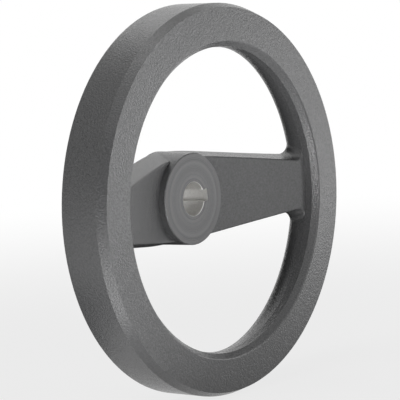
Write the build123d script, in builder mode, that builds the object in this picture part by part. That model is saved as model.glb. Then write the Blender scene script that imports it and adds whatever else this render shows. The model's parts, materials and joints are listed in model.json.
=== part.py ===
"""Two-spoke dished handwheel, one aluminium die casting with a machined hub.

The wheel turns about the Y axis.  Its front face looks towards -Y, the machine
and its shaft lie towards +Y, and the two spokes run along X.  The origin is the
centre of the hub's back face, where the wheel seats against the shaft's shoulder.
"Depth" below is the distance behind the rim's flat front face.
"""
import math
import os

from build123d import *

# ---- driving dimensions (mm, degrees) --------------------------------------
WHEEL_DIAMETER = 160.0        # over the rim's back edge, its widest place
OVERALL_DEPTH = 38.0          # rim's front face to the hub's back face

# rim section
RIM_DEPTH = 20.5              # front face to the back of the rim
FRONT_FLAT_WIDTH = 13.6       # flat ring that the hand rests on
OUTER_BEVEL_WIDTH = 1.75      # radial
OUTER_BEVEL_DEPTH = 3.9       # axial
INNER_BEVEL_WIDTH = 2.1       # radial
INNER_BEVEL_DEPTH = 2.6       # axial
PARTING_DEPTH = 5.6           # ridge on the inner wall, where the two die halves met
OUTER_DRAFT = 0.8             # outer wall widens towards the back
INNER_DRAFT = 6.0             # inner wall opens from the ridge towards the front
HOLLOW_ROUND = 15.3           # behind the ridge, where the fingers wrap round the rim
GRIP_EDGE = 0.9               # round on the front flat's inner edge
CREST_EDGE = 0.4              # front flat's outer edge and the foot of its bevel
WALL_EDGE = 0.25              # foot of the inner bevel
BACK_EDGE = 1.2               # rim's back outer edge

# hub, machined on both faces and bored
HUB_FRONT_DIAMETER = 38.0
HUB_BACK_DIAMETER = 39.0      # boss behind the web; the side between is drafted
HUB_LENGTH = 18.5
HUB_EDGE = 0.3                # chamfer round both faces
BORE_DIAMETER = 14.0          # H7
BORE_CHAMFER = 0.15
KEYWAY_WIDTH = 5.0            # for a 5 x 5 parallel key
KEYWAY_HEIGHT = 16.3          # keyway floor to the far side of the bore
KEYWAY_TURN = 6.0             # the keyway was broached this far off the spokes' line

# spokes: one web through the hub, widest at the axis, dished in section
SPOKE_ROOT_WIDTH = 33.0       # at the wheel's axis, in the plane of the hub's front face
SPOKE_TIP_WIDTH = 26.3        # at the rim's inner wall, in the same plane
SPOKE_WAIST_ROUND = 300.0     # radius of the bend in each long side, over the hub
SPOKE_DRAFT = 12.0            # long sides widen towards the back
HUB_STEP = 3.2                # hub's front face stands proud of the web
TOE_ROUND = 12.0              # the front cone rounds over and meets the ridge level
SPOKE_BACK_STEP = 2.7         # hub's back face stands proud of the web
TIP_STEP = 2.8                # spokes' back meets the rim this far before the rim's back
BACK_SWEEP = 190.0            # radius of the hollow sweep of the spokes' back, hub to rim
SPOKE_FRONT_EDGE = 0.8
SPOKE_BACK_EDGE = 1.0
RIM_CORNER = 3.5              # fillet between a spoke's long sides and the rim
OVERLAP = 4.0                 # how far the web runs on, hidden, inside the hub and the rim

# ---- places worked out from the sizes --------------------------------------
WHEEL_RADIUS = WHEEL_DIAMETER / 2
HUB_RADIUS = HUB_FRONT_DIAMETER / 2
HUB_BACK_RADIUS = HUB_BACK_DIAMETER / 2
BORE_RADIUS = BORE_DIAMETER / 2
HUB_FACE_DEPTH = OVERALL_DEPTH - HUB_LENGTH
WEB_FRONT_DEPTH = HUB_FACE_DEPTH + HUB_STEP
WEB_BACK_DEPTH = OVERALL_DEPTH - SPOKE_BACK_STEP
KEYWAY_REACH = KEYWAY_HEIGHT - BORE_RADIUS
HOLLOW_DEPTH = RIM_DEPTH - HOLLOW_ROUND
SPOKE_TIP_DEPTH = RIM_DEPTH - TIP_STEP
QUARTER_TURN = 90
HALF_TURN = 180
TOUCH = 0.01                  # two places this close count as one
STEEP = 0.8                   # a side face's normal has at least this share along Z


def slope(angle):
    """Rise over run of an angle in degrees."""
    return math.tan(math.radians(angle))


def place(radius, depth):
    """A point of a section, drawn in the XY plane and turned about Y."""
    return (radius, depth - OVERALL_DEPTH)


def corner(shape, point):
    """The vertex of a sketch that lies at a point."""
    return shape.vertices().sort_by_distance(Vector(*point))[0]


def hollow_turn(depth):
    """Where on the hollow's arc, as an angle about its centre, its wall reaches a depth."""
    return HALF_TURN - math.degrees(math.asin((depth - HOLLOW_DEPTH) / HOLLOW_ROUND))


def at_waist(edge):
    """Whether an edge is the bend of a long side, over the hub."""
    return edge.geom_type == GeomType.BSPLINE and abs((edge @ 0.5).X) < TOUCH


bevel_foot_radius = WHEEL_RADIUS - (RIM_DEPTH - OUTER_BEVEL_DEPTH) * slope(OUTER_DRAFT)
flat_outer_radius = bevel_foot_radius - OUTER_BEVEL_WIDTH
flat_inner_radius = flat_outer_radius - FRONT_FLAT_WIDTH
wall_front_radius = flat_inner_radius - INNER_BEVEL_WIDTH
ridge_radius = wall_front_radius - (PARTING_DEPTH - INNER_BEVEL_DEPTH) * slope(INNER_DRAFT)
ridge_point = place(ridge_radius, PARTING_DEPTH)

# the hollow behind the ridge is one arc, level with the rim's back where it ends
hollow_radius = ridge_radius + math.sqrt(HOLLOW_ROUND**2 - (PARTING_DEPTH - HOLLOW_DEPTH) ** 2)
hollow_centre = place(hollow_radius, HOLLOW_DEPTH)
tip_radius = hollow_radius - math.sqrt(HOLLOW_ROUND**2 - (SPOKE_TIP_DEPTH - HOLLOW_DEPTH) ** 2)

os.makedirs("parts", exist_ok=True)

# ---- spokes' outline, with the wall that they run into -----------------------
# Their corners are rounded here, while the long sides and the wall are plain and tall.
with BuildPart() as outline:
    end_radius = tip_radius + OVERLAP
    end_half = SPOKE_ROOT_WIDTH / 2
    end_half -= (SPOKE_ROOT_WIDTH - SPOKE_TIP_WIDTH) / 2 * end_radius / ridge_radius
    with BuildSketch(Plane.XZ):
        with BuildLine():
            Polyline(
                (end_radius, end_half),
                (0, SPOKE_ROOT_WIDTH / 2),
                (-end_radius, end_half),
                (-end_radius, -end_half),
                (0, -SPOKE_ROOT_WIDTH / 2),
                (end_radius, -end_half),
                close=True,
            )
        hexagon = make_face()
        waists = hexagon.vertices().filter_by(lambda point: abs(point.X) < HUB_RADIUS)
        fillet(waists, SPOKE_WAIST_ROUND)
    extrude(amount=OVERALL_DEPTH)
    long_sides = faces().filter_by(lambda face: abs(face.normal_at().Z) > STEEP)
    draft(long_sides, Plane.XZ.offset(HUB_LENGTH), SPOKE_DRAFT)

    back_turn = hollow_turn(RIM_DEPTH - TIP_STEP / 2)
    front_turn = hollow_turn(PARTING_DEPTH - OVERLAP)
    with BuildSketch(Plane.XY):
        with BuildLine():
            tall_wall = CenterArc(hollow_centre, HOLLOW_ROUND, back_turn, front_turn - back_turn)
            Polyline(
                tall_wall @ 1,
                (hollow_radius, (tall_wall @ 1).Y),
                (hollow_radius, (tall_wall @ 0).Y),
                tall_wall @ 0,
            )
        make_face()
    revolve(axis=Axis.Y)
    tall_corners = outline.edges().filter_by(
        lambda edge: edge.geom_type == GeomType.BSPLINE and abs((edge @ 0.5).X) > HUB_RADIUS
    )
    fillet(tall_corners, RIM_CORNER)

# ---- web that carries the two spokes ------------------------------------------
# Section: a front cone whose toe rounds over until it is level with the parting ridge,
# and a hollow sweep behind it, so that a spoke is thickest at the hub.
hub_widening = (HUB_BACK_RADIUS - HUB_RADIUS) / (WEB_BACK_DEPTH - HUB_FACE_DEPTH)
hub_root = Vector(*place(HUB_RADIUS + HUB_STEP * hub_widening, WEB_FRONT_DEPTH))
toe_centre = Vector(*ridge_point) + Vector(0, TOE_ROUND)
to_centre = toe_centre - hub_root
centre_turn = math.degrees(math.atan2(to_centre.Y, to_centre.X))
cone_turn = centre_turn - math.degrees(math.asin(TOE_ROUND / to_centre.length))
cone_length = math.sqrt(to_centre.length**2 - TOE_ROUND**2)
along_cone = Vector(1, 0).rotate(Axis.Z, cone_turn)
cone_start = hub_root - along_cone * OVERLAP
hub_back_root = Vector(*place(HUB_BACK_RADIUS, WEB_BACK_DEPTH))
tip_back = Vector(*place(tip_radius, SPOKE_TIP_DEPTH))
to_hub = hub_back_root - tip_back
sweep_turn = 2 * math.degrees(math.asin(to_hub.length / 2 / BACK_SWEEP))
sweep_overrun = math.degrees(OVERLAP / BACK_SWEEP)
sweep_aim = to_hub.rotate(Axis.Z, sweep_turn / 2)

with BuildPart() as web:
    with BuildSketch(Plane.XY):
        with BuildLine():
            Line(cone_start, hub_root + along_cone * cone_length)
            toe = JernArc(hub_root + along_cone * cone_length, along_cone, TOE_ROUND, -cone_turn)
            sweep = JernArc(tip_back, sweep_aim, BACK_SWEEP, -sweep_turn - sweep_overrun)
            Polyline(
                toe @ 1,
                toe @ 1 + (toe % 1) * (end_radius - ridge_radius),
                tip_back - (sweep % 0) * OVERLAP,
                tip_back,
            )
            Polyline(sweep @ 1, (0, (sweep @ 1).Y), (0, cone_start.Y), cone_start)
        make_face()
    revolve(axis=Axis.Y)
    add(outline.part, mode=Mode.INTERSECT)
    # each window's edge is rounded all the way round, starting from its waist
    waist_edges = web.edges().filter_by(at_waist)
    fillet(waist_edges.group_by(Axis.Y)[0], SPOKE_FRONT_EDGE)
    waist_edges = web.edges().filter_by(at_waist)
    fillet(waist_edges.group_by(Axis.Y)[-1], SPOKE_BACK_EDGE)

# ---- rim --------------------------------------------------------------------
with BuildPart() as rim:
    with BuildSketch(Plane.XY):
        flat_inner = place(flat_inner_radius, 0)
        flat_outer = place(flat_outer_radius, 0)
        bevel_foot = place(bevel_foot_radius, OUTER_BEVEL_DEPTH)
        back_outer = place(WHEEL_RADIUS, RIM_DEPTH)
        wall_front = place(wall_front_radius, INNER_BEVEL_DEPTH)
        ridge_turn = hollow_turn(PARTING_DEPTH) - QUARTER_TURN
        with BuildLine():
            hollow = CenterArc(hollow_centre, HOLLOW_ROUND, QUARTER_TURN, ridge_turn)
            Polyline(hollow @ 1, wall_front, flat_inner, flat_outer, bevel_foot, back_outer, hollow @ 0)
        section = make_face()
        fillet(corner(section, flat_inner), GRIP_EDGE)
        fillet(corner(section, flat_outer), CREST_EDGE)
        fillet(corner(section, bevel_foot), CREST_EDGE)
        fillet(corner(section, wall_front), WALL_EDGE)
        fillet(corner(section, back_outer), BACK_EDGE)
    revolve(axis=Axis.Y)

# ---- whole wheel ---------------------------------------------------------------
with BuildPart() as handwheel:
    add(rim.part)
    add(web.part)
    with BuildSketch(Plane.XY):
        with BuildLine():
            Polyline(
                place(0, HUB_FACE_DEPTH),
                place(HUB_RADIUS, HUB_FACE_DEPTH),
                hub_back_root,
                place(HUB_BACK_RADIUS, OVERALL_DEPTH),
                place(0, OVERALL_DEPTH),
                close=True,
            )
        make_face()
    revolve(axis=Axis.Y)
    rings = handwheel.edges().filter_by(GeomType.CIRCLE)
    front_rings = rings.filter_by(lambda edge: abs(edge.radius - HUB_RADIUS) < TOUCH)
    chamfer(front_rings.group_by(Axis.Y)[0], HUB_EDGE)
    rings = handwheel.edges().filter_by(GeomType.CIRCLE)
    back_rings = rings.filter_by(lambda edge: abs(edge.radius - HUB_BACK_RADIUS) < TOUCH)
    chamfer(back_rings.group_by(Axis.Y)[-1], HUB_EDGE)

    # bore and its keyway, the keyway's floor square to the line it was broached on
    with BuildSketch(Plane.XZ):
        Circle(BORE_RADIUS)
        with PolarLocations(KEYWAY_REACH / 2, 1, start_angle=KEYWAY_TURN):
            Rectangle(KEYWAY_REACH, KEYWAY_WIDTH)
    extrude(amount=HUB_LENGTH, mode=Mode.SUBTRACT)
    bore_mouths = handwheel.edges().filter_by(GeomType.CIRCLE)
    bore_mouths = bore_mouths.filter_by(lambda edge: abs(edge.radius - BORE_RADIUS) < TOUCH)
    chamfer(bore_mouths, BORE_CHAMFER)

handwheel.part.label = "handwheel"
export_step(handwheel.part, "parts/handwheel.step")
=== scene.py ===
# %% [markdown]
# # A die-cast handwheel in a small studio
#
# The wheel is one aluminium casting: a rim with a flat front, two broad spokes and a hub.
# It was coated with a fine-grained dark powder. The hub's two faces were turned in a lathe
# before that, so rings show faintly through the coat, and the bore and its keyway were cut
# after it, so they show bare metal. The solid comes from the CAD model and keeps its shape
# here. This file adds three things: the finish, the light and the camera.

# %% Load the frame
import json
import math

import bpy
from mathutils import Matrix, Vector


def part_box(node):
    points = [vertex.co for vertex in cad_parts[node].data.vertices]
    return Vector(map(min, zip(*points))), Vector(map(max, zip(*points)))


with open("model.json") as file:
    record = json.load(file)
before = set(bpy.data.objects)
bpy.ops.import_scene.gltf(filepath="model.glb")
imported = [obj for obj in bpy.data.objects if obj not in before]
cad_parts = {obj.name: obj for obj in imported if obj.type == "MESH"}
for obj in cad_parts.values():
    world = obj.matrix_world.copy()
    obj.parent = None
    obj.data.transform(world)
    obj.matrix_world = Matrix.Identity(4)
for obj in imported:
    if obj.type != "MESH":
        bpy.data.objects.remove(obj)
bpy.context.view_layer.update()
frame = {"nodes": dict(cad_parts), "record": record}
wheel = frame["nodes"]["handwheel"]
low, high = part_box("handwheel")
print("wheel from", [round(v, 4) for v in low], "to", [round(v, 4) for v in high])

# %% [markdown]
# ## Where things are
#
# The wheel turns about Y, its front looks towards -Y, and its spokes lie on X. The record
# that comes with the frame states the hub's two faces as mounts. They could be typed in
# again as numbers, but read from there they follow the part, so only the keyway's reach
# and the hub's radius are named here.

# %% Places on the wheel, in metres
MM = 0.001
KEYWAY_REACH = 9.3 * MM
HUB_RADIUS = 19.0 * MM

mounts = {mount["name"]: mount for mount in frame["record"]["mounts"]}
hub_front_y = mounts["hub_front_face"]["pos_m"][1]
hub_back_y = mounts["hub_back_face"]["pos_m"][1]
rim_centre = Vector((0, low.y, 0))
print("hub faces at y", hub_front_y, "and", hub_back_y)

# %% [markdown]
# ## Shader maths that reads like Python
#
# A material is a graph of nodes, and a graph built call by call is hard to read. The small
# class `Wire` wraps a node's output socket, so that `1 - mask * 0.5` adds the Math nodes by
# itself. The class `Graph` wraps a node tree, and its one method `node` makes every other
# kind of node: first its settings, then the values or links of its sockets. The methods
# below it are short names for the nodes that come up most.

# %% A socket that can be calculated with
class Wire:
    """A node's output socket; sums and products of it add Math nodes."""

    def __init__(self, graph, socket):
        self.graph = graph
        self.socket = socket

    def maths(self, operation, first, second=0.0):
        node = self.graph.node("ShaderNodeMath", {"operation": operation}, {0: first, 1: second})
        return self.graph.out(node)

    def __add__(self, other):
        return self.maths("ADD", self, other)

    def __sub__(self, other):
        return self.maths("SUBTRACT", self, other)

    def __rsub__(self, other):
        return self.maths("SUBTRACT", other, self)

    def __mul__(self, other):
        return self.maths("MULTIPLY", self, other)

    def __pow__(self, other):
        return self.maths("POWER", self, other)

    def __or__(self, other):
        """The larger of two masks."""
        return self.maths("MAXIMUM", self, other)

    def sine(self):
        return self.maths("SINE", self)

    __radd__ = __add__
    __rmul__ = __mul__


# %% A node tree, and the one method that adds nodes to it
class Graph:
    """A cleared node tree of a material or a world."""

    def __init__(self, owner):
        owner.use_nodes = True
        self.tree = owner.node_tree
        self.tree.nodes.clear()

    def node(self, kind, settings=None, sockets=None):
        made = self.tree.nodes.new(kind)
        for name, value in (settings or {}).items():
            setattr(made, name, value)
        for name, value in (sockets or {}).items():
            if isinstance(value, Wire):
                self.tree.links.new(value.socket, made.inputs[name])
            else:
                made.inputs[name].default_value = value
        return made

    def out(self, node, name=0):
        return Wire(self, node.outputs[name])

    def smooth(self, value, low_end, high_end):
        """0 below low_end, 1 above high_end, and a smooth step between them."""
        settings = {"interpolation_type": "SMOOTHSTEP"}
        sockets = {"Value": value, "From Min": low_end, "From Max": high_end}
        return self.out(self.node("ShaderNodeMapRange", settings, sockets))

    def mix_colours(self, factor, first, second):
        mixer = self.node("ShaderNodeMix", {"data_type": "RGBA"}, {0: factor, 6: first, 7: second})
        return self.out(mixer, 2)

    def noise(self, place, scale, detail=2.0, roughness=0.5):
        """Cloudy noise about 0.5; scale is in lumps a metre, detail in finer layers on top."""
        sockets = {"Vector": place, "Scale": scale, "Detail": detail, "Roughness": roughness}
        return self.out(self.node("ShaderNodeTexNoise", None, sockets), "Fac")

    def relief(self, height, distance, strength=1.0):
        """The normal of a skin whose height varies by distance."""
        sockets = {"Strength": strength, "Distance": distance, "Height": height}
        return self.out(self.node("ShaderNodeBump", None, sockets))

    def principled(self, sockets):
        return self.out(self.node("ShaderNodeBsdfPrincipled", None, sockets))

    def surface(self, shader, kind="ShaderNodeOutputMaterial"):
        """Ends the tree with this shader, and returns how many nodes it took."""
        self.node(kind, None, {"Surface": shader})
        return len(self.tree.nodes)


# %% [markdown]
# ## Places inside a shader
#
# Every finish below asks the same questions of a point: where it is, how far it lies from
# the wheel's axis, and how deep along it. UV coordinates would have to be unwrapped and
# would change with the mesh, so object coordinates are used: they are the frame's own
# metres and stay with the wheel from any side.

# %% Place, radius and depth of a shaded point
def place_on_wheel(graph):
    return graph.out(graph.node("ShaderNodeTexCoord"), "Object")


def radius_and_depth(graph, place):
    parts = graph.node("ShaderNodeSeparateXYZ", None, {0: place})
    across = graph.out(parts, "X")
    up = graph.out(parts, "Z")
    return (across * across + up * up) ** 0.5, graph.out(parts, "Y")


def only_along(graph, axis, value):
    """A place that varies with one number alone, for noise in rings or grooves."""
    return graph.out(graph.node("ShaderNodeCombineXYZ", None, {axis: value}))


# %% [markdown]
# ## Powder coat
#
# Polyester powder is sprayed on dry and melts in an oven. It never flows quite flat: a fine
# structure coat sets as close-packed grains a little under a millimetre across, on top of a
# wider orange peel. An image of such a skin would smear over the rim's rounds, and real
# grains would take millions of triangles, so both are noise in three dimensions that feeds
# a Bump node. The same grain shifts the colour and the gloss a little, since its tops are
# smoother than the pits between them.

# %% Powder coat
GRAIN_LUMPS = 1300.0
GRAIN_BREAKUP = 0.55
GRAIN_HEIGHT = 0.24 * MM
GRAIN_TINT = 1.3
PEEL_LUMPS = 260.0
PEEL_SHARE = 0.15
CLOUD_LUMPS = 38.0
CLOUD_TINT = 0.35
COAT_DARK = (0.072, 0.0724, 0.074, 1)
COAT_LIGHT = (0.136, 0.1366, 0.139, 1)
COAT_ROUGHNESS = 0.23
GRAIN_POLISH = 0.15
COAT_SPECULAR = 0.5


def coat_grain(graph, place):
    return graph.noise(place, GRAIN_LUMPS, roughness=GRAIN_BREAKUP)


def powder_coat():
    material = bpy.data.materials.new("powder_coat")
    graph = Graph(material)
    place = place_on_wheel(graph)
    grain = coat_grain(graph, place)
    peel = graph.noise(place, PEEL_LUMPS, detail=1.0)
    cloud = graph.noise(place, CLOUD_LUMPS, detail=3.0)
    shade = (grain - 0.5) * GRAIN_TINT + (cloud - 0.5) * CLOUD_TINT + 0.5
    shader = graph.principled({
        "Base Color": graph.mix_colours(shade, COAT_DARK, COAT_LIGHT),
        "Roughness": COAT_ROUGHNESS - (grain - 0.5) * GRAIN_POLISH,
        "Normal": graph.relief(grain + peel * PEEL_SHARE, GRAIN_HEIGHT),
        "Specular IOR Level": COAT_SPECULAR,
    })
    print("powder coat:", graph.surface(shader), "nodes")
    return material


cast_skin = powder_coat()

# %% [markdown]
# ## Turned faces
#
# The hub's faces were turned before coating. The tool's feed leaves fine rings, and the thin
# coat on top fills them only in part. The coat there has a lower grain than on the cast skin
# and a duller gloss. Real grooves would need a mesh far finer than the CAD's, and an
# anisotropic gloss would give only their sheen, so the rings are a sine of the radius. A slow
# noise along the radius makes them uneven, since no feed is perfectly steady.

# %% Turned faces under the coat
RING_PITCH = 0.62 * MM
RING_HEIGHT = 0.05 * MM
RING_DRIFT_LUMPS = 700.0
RING_DRIFT = 9.0
RINGS_START = 0.35
RINGS_FULL = 0.6
RING_TINT = 0.9
RING_MIDDLE = 0.4
FACED_GRAIN_TINT = 0.6
FACED_GRAIN_SHARE = 0.25
FACED_ROUGHNESS = 0.42


def faced_coat():
    material = bpy.data.materials.new("faced_coat")
    graph = Graph(material)
    place = place_on_wheel(graph)
    radius = radius_and_depth(graph, place)[0]
    grain = coat_grain(graph, place)
    unevenness = graph.noise(only_along(graph, "X", radius), RING_DRIFT_LUMPS)
    turns = radius * (2 * math.pi / RING_PITCH) + unevenness * RING_DRIFT
    rings = turns.sine() * 0.5 + 0.5
    rings = rings * graph.smooth(unevenness, RINGS_START, RINGS_FULL)
    shade = 0.5 + (grain - 0.5) * FACED_GRAIN_TINT + (rings - RING_MIDDLE) * -RING_TINT
    height = rings * (RING_HEIGHT / GRAIN_HEIGHT) + grain * FACED_GRAIN_SHARE
    shader = graph.principled({
        "Base Color": graph.mix_colours(shade, COAT_DARK, COAT_LIGHT),
        "Roughness": FACED_ROUGHNESS,
        "Normal": graph.relief(height, GRAIN_HEIGHT),
        "Specular IOR Level": COAT_SPECULAR,
    })
    print("turned faces:", graph.surface(shader), "nodes")
    return material


turned_skin = faced_coat()

# %% [markdown]
# ## Bare bore
#
# Bore and keyway are bare aluminium, bored and then broached. Boring leaves grooves round
# the axis. They could be cut into the mesh, but the bore's wall is seen only as a sliver, so
# a bump that depends on the depth alone draws them, with a fine scatter over it.

# %% Bare bore
GROOVE_LUMPS = 2600.0
SCATTER_LUMPS = 1500.0
BORE_BREAKUP = 0.6
GROOVE_TINT = 0.5
SCATTER_TINT = 0.9
GROOVE_SHARE = 0.5
BORE_DARK = (0.56, 0.555, 0.54, 1)
BORE_LIGHT = (0.84, 0.83, 0.81, 1)
BORE_RELIEF = 0.06 * MM
BORE_BUMP = 0.6
BORE_METAL = 0.85
BORE_ROUGHNESS = 0.5


def bare_bore():
    material = bpy.data.materials.new("bare_bore")
    graph = Graph(material)
    place = place_on_wheel(graph)
    depth = radius_and_depth(graph, place)[1]
    along_bore = only_along(graph, "Y", depth)
    grooves = graph.noise(along_bore, GROOVE_LUMPS, detail=3.0, roughness=BORE_BREAKUP)
    scatter = graph.noise(place, SCATTER_LUMPS, roughness=BORE_BREAKUP)
    shade = (grooves - 0.5) * GROOVE_TINT + (scatter - 0.5) * SCATTER_TINT + 0.5
    shader = graph.principled({
        "Base Color": graph.mix_colours(shade, BORE_DARK, BORE_LIGHT),
        "Metallic": BORE_METAL,
        "Roughness": BORE_ROUGHNESS,
        "Normal": graph.relief(grooves * GROOVE_SHARE + scatter, BORE_RELIEF, BORE_BUMP),
    })
    print("bare bore:", graph.surface(shader), "nodes")
    return material


bare_metal = bare_bore()

# %% [markdown]
# ## Which face gets which finish
#
# The finishes could be mixed in one material with masks of radius and depth, but every
# sample would then pay for all three. The CAD mesh stays untouched: each face only gets the
# number of its finish. A face inside the bore or keyway is bare, a face of the hub that
# looks along the axis is turned, and everything else is cast skin under powder.

# %% Finishes by face
CAST, TURNED, BARE = range(3)
NEAR = 0.05 * MM
HUB_MARGIN = 0.5 * MM
FACES_AXIS = 0.99


def finish_of(polygon):
    centre = polygon.center
    radius = math.hypot(centre.x, centre.z)
    along_axis = abs(polygon.normal.y) > FACES_AXIS
    if radius < KEYWAY_REACH + NEAR and not along_axis:
        return BARE
    on_hub_face = min(abs(centre.y - hub_front_y), abs(centre.y - hub_back_y)) < NEAR
    if along_axis and on_hub_face and radius < HUB_RADIUS + HUB_MARGIN:
        return TURNED
    return CAST


wheel.data.materials.clear()
for material in (cast_skin, turned_skin, bare_metal):
    wheel.data.materials.append(material)
counts = [0, 0, 0]
for polygon in wheel.data.polygons:
    polygon.material_index = finish_of(polygon)
    counts[polygon.material_index] += 1
print("faces cast, turned and bare:", counts)

# %% [markdown]
# ## Floor
#
# The wheel stands on a wide pale table. A curved paper sweep would hide the horizon too, but
# it has to be placed for one camera. Here the table's own colour is lit like any other, so
# the wheel keeps its shadow, and a white glow that only the camera and mirror-like surfaces
# see is mixed in. It grows with the distance, so the table fades into the backdrop.

# %% Two helpers for what stands round the wheel
def seen_directly(graph):
    """1 for rays from the camera and for the mirror images of a gloss or a glass."""
    path = graph.node("ShaderNodeLightPath")
    seen = graph.out(path, "Is Camera Ray") | graph.out(path, "Is Glossy Ray")
    return seen | graph.out(path, "Is Transmission Ray")


def flat_sheet(name, corners, material):
    mesh = bpy.data.meshes.new(name)
    mesh.from_pydata(corners, [], [(0, 1, 2, 3)])
    mesh.materials.append(material)
    sheet = bpy.data.objects.new(name, mesh)
    bpy.context.scene.collection.objects.link(sheet)
    return sheet


# %% Floor
FLOOR_HALF = 6.0
NEAR_GLOW = 0.78
FADE_START = 0.12
FADE_END = 0.75
TABLE_COLOUR = (0.82, 0.82, 0.82, 1)
WHITE = (1, 1, 1, 1)
MATT = {"Roughness": 0.9, "Specular IOR Level": 0.0}


def pale_floor():
    material = bpy.data.materials.new("pale_floor")
    graph = Graph(material)
    place = place_on_wheel(graph)
    apart = graph.node("ShaderNodeVectorMath", {"operation": "LENGTH"}, {0: place})
    fade = graph.smooth(graph.out(apart, "Value"), FADE_START, FADE_END)
    glow = (fade * (1 - NEAR_GLOW) + NEAR_GLOW) * seen_directly(graph)
    table = graph.principled({"Base Color": TABLE_COLOUR, **MATT})
    white = graph.node("ShaderNodeEmission", None, {"Color": WHITE, "Strength": 1.0})
    shader = graph.node("ShaderNodeMixShader", None, {0: glow, 1: table, 2: graph.out(white)})
    graph.surface(graph.out(shader))
    return material


floor_signs = ((-1, -1), (1, -1), (1, 1), (-1, 1))
floor_corners = [(x * FLOOR_HALF, y * FLOOR_HALF, low.z) for x, y in floor_signs]
flat_sheet("floor", floor_corners, pale_floor())
print("floor at z", round(low.z, 4))

# %% [markdown]
# ## Lamps
#
# Dark gloss shows its lamps more than its colour, so soft area lamps are used, which stand
# for softboxes and white cards. Those near the right light the rim's flat front, brightest
# on the right. The low cards lie just above the table and are mirrored in the bevels. Sun or
# spot lamps would be simpler, but they leave hard glints and hard shadows. Each row holds a
# name, a place, the point aimed at, the width and height in metres, and the power in watts.

# %% Lamps
LOW_CARD_Z = -0.079
LAMPS = [
    ("top_left_box", (-0.5, 0.2, 0.7), (0, 0, 0), (0.5, 0.5), 0.5),
    ("back_top_box", (0.45, 0.7, 0.75), (0, 0, 0), (0.4, 0.3), 0.4),
    ("top_strip", (-0.04, 0.0, 0.32), (-0.04, 0.0, 0), (0.16, 0.1), 0.13),
    ("near_right", (0.28, -0.2, 0.02), (0, 0, 0), (0.15, 0.15), 0.112),
    ("near_right_low", (0.22, -0.16, -0.04), (0, 0, -0.03), (0.1, 0.06), 0.025),
    ("front_box", (0.12, -0.9, 0.05), (0, 0, 0), (0.5, 0.4), 0.4),
    ("low_bevel_card", (-0.19, -0.06, LOW_CARD_Z), (-0.19, -0.06, 1.0), (0.2, 0.06), 0.12),
    ("low_front_card", (-0.03, -0.14, LOW_CARD_Z), (-0.03, -0.14, 1.0), (0.1, 0.08), 0.075),
    ("low_camera_card", (-0.17, -0.26, LOW_CARD_Z), (-0.17, -0.26, 1.0), (0.14, 0.12), 1.4),
]


def lamp(name, place, aim, size, power):
    data = bpy.data.lights.new(name, "AREA")
    data.shape = "RECTANGLE"
    data.size, data.size_y = size
    data.energy = power
    made = bpy.data.objects.new(name, data)
    made.location = place
    made.rotation_euler = (Vector(aim) - Vector(place)).to_track_quat("-Z", "Y").to_euler()
    made.visible_camera = False
    bpy.context.scene.collection.objects.link(made)


for name, place, aim, size, power in LAMPS:
    lamp(name, place, aim, size, power)
print(len(LAMPS), "lamps")

# %% [markdown]
# ## Black cards
#
# On a white table a dark glossy product loses its edges, so studios put black cards round
# it. Mirrored in the bevel, the left card turns that narrow band dark. The back card and the
# one on the floor do the same for the hollow inside the rim. Less gloss in the coat would
# darken the hollow too, but the bevels would lose their glints. The cards are hidden from
# the camera and from matt surfaces and cast no shadow, so only gloss sees them.

# %% Black cards
FLOOR_CARD_Z = -0.0792
FLAGS = {
    "left_flag": [
        (-1.1, -0.75, -0.05),
        (-1.1, 0.55, -0.05),
        (-1.1, 0.55, 0.95),
        (-1.1, -0.75, 0.95),
    ],
    "back_flag": [
        (-0.7, 1.3, -0.05),
        (0.9, 1.3, -0.05),
        (0.9, 1.3, 1.0),
        (-0.7, 1.3, 1.0),
    ],
    "floor_flag": [
        (-0.12, 0.01, FLOOR_CARD_Z),
        (0.35, 0.01, FLOOR_CARD_Z),
        (0.35, 1.0, FLOOR_CARD_Z),
        (-0.12, 1.0, FLOOR_CARD_Z),
    ],
}
CARD_BLACK = (0.01, 0.01, 0.01, 1)


def black_card():
    material = bpy.data.materials.new("black_card")
    graph = Graph(material)
    graph.surface(graph.principled({"Base Color": CARD_BLACK, **MATT}))
    return material


card_black = black_card()
for name, corners in FLAGS.items():
    flag = flat_sheet(name, corners, card_black)
    flag.visible_camera = False
    flag.visible_shadow = False
    flag.visible_diffuse = False
print(len(FLAGS), "black cards")

# %% [markdown]
# ## World
#
# The backdrop is white to the camera and to mirror images. Matt surfaces see a dim room
# instead, so the backdrop does not wash the shadows out. A white wall lit by lamps would do
# the same, but its spill would be hard to keep off the wheel.

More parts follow.
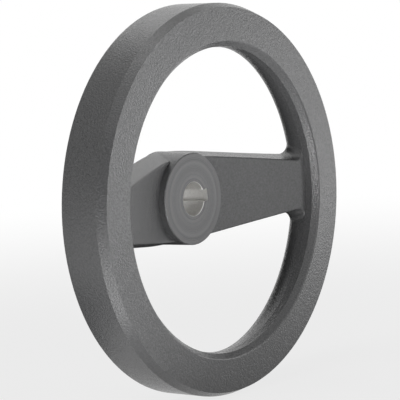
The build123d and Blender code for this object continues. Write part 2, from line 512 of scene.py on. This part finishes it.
# %% World
SKY = 0.12
world = bpy.data.worlds.new("studio")
bpy.context.scene.world = world
studio = Graph(world)
backdrop = studio.node("ShaderNodeBackground", None, {"Color": WHITE, "Strength": 1.0})
room = studio.node("ShaderNodeBackground", None, {"Color": WHITE, "Strength": SKY})
sockets = {0: seen_directly(studio), 1: studio.out(room), 2: studio.out(backdrop)}
chooser = studio.node("ShaderNodeMixShader", None, sockets)
studio.surface(studio.out(chooser), "ShaderNodeOutputWorld")
print("room light", SKY)

# %% [markdown]
# ## Camera
#
# The wheel is seen from its front left, a little above its axis. A wide lens close by would
# stretch the near side of the rim, so a long lens is used. The wheel stands turned a little
# on its axis. The CAD stays where it is, so the camera goes round the bore's axis instead.

# %% Camera
CAMERA_DISTANCE = 0.700
CAMERA_AZIMUTH = math.radians(53.718)
CAMERA_ELEVATION = math.radians(2.658)
WHEEL_TURN = math.radians(4.5)
CAMERA_ROLL = math.radians(-0.085)
LENS_MM = 155.5
SENSOR_MM = 36.0
SHIFT_X = -0.0800
SHIFT_Y = 0.00065
CLIP_START = 0.05

camera_data = bpy.data.cameras.new("camera")
camera_data.lens = LENS_MM
camera_data.sensor_width = SENSOR_MM
camera_data.shift_x = SHIFT_X
camera_data.shift_y = SHIFT_Y
camera_data.clip_start = CLIP_START
camera = bpy.data.objects.new("camera", camera_data)
bpy.context.scene.collection.objects.link(camera)

level = math.cos(CAMERA_ELEVATION)
sideways = -math.sin(CAMERA_AZIMUTH) * level
forwards = -math.cos(CAMERA_AZIMUTH) * level
away = Vector((sideways, forwards, math.sin(CAMERA_ELEVATION)))
turn = Matrix.Rotation(WHEEL_TURN, 3, "Y")
back = (turn @ away).normalized()
right = (turn @ Vector((0, 0, 1))).cross(back).normalized()
up = back.cross(right)
pose = Matrix((right, up, back)).transposed() @ Matrix.Rotation(CAMERA_ROLL, 3, "Z")
camera.matrix_world = Matrix.Translation(rim_centre + back * CAMERA_DISTANCE) @ pose.to_4x4()
bpy.context.scene.camera = camera
bpy.context.scene.view_settings.view_transform = "Standard"
print("camera at", [round(v, 4) for v in camera.matrix_world.translation])
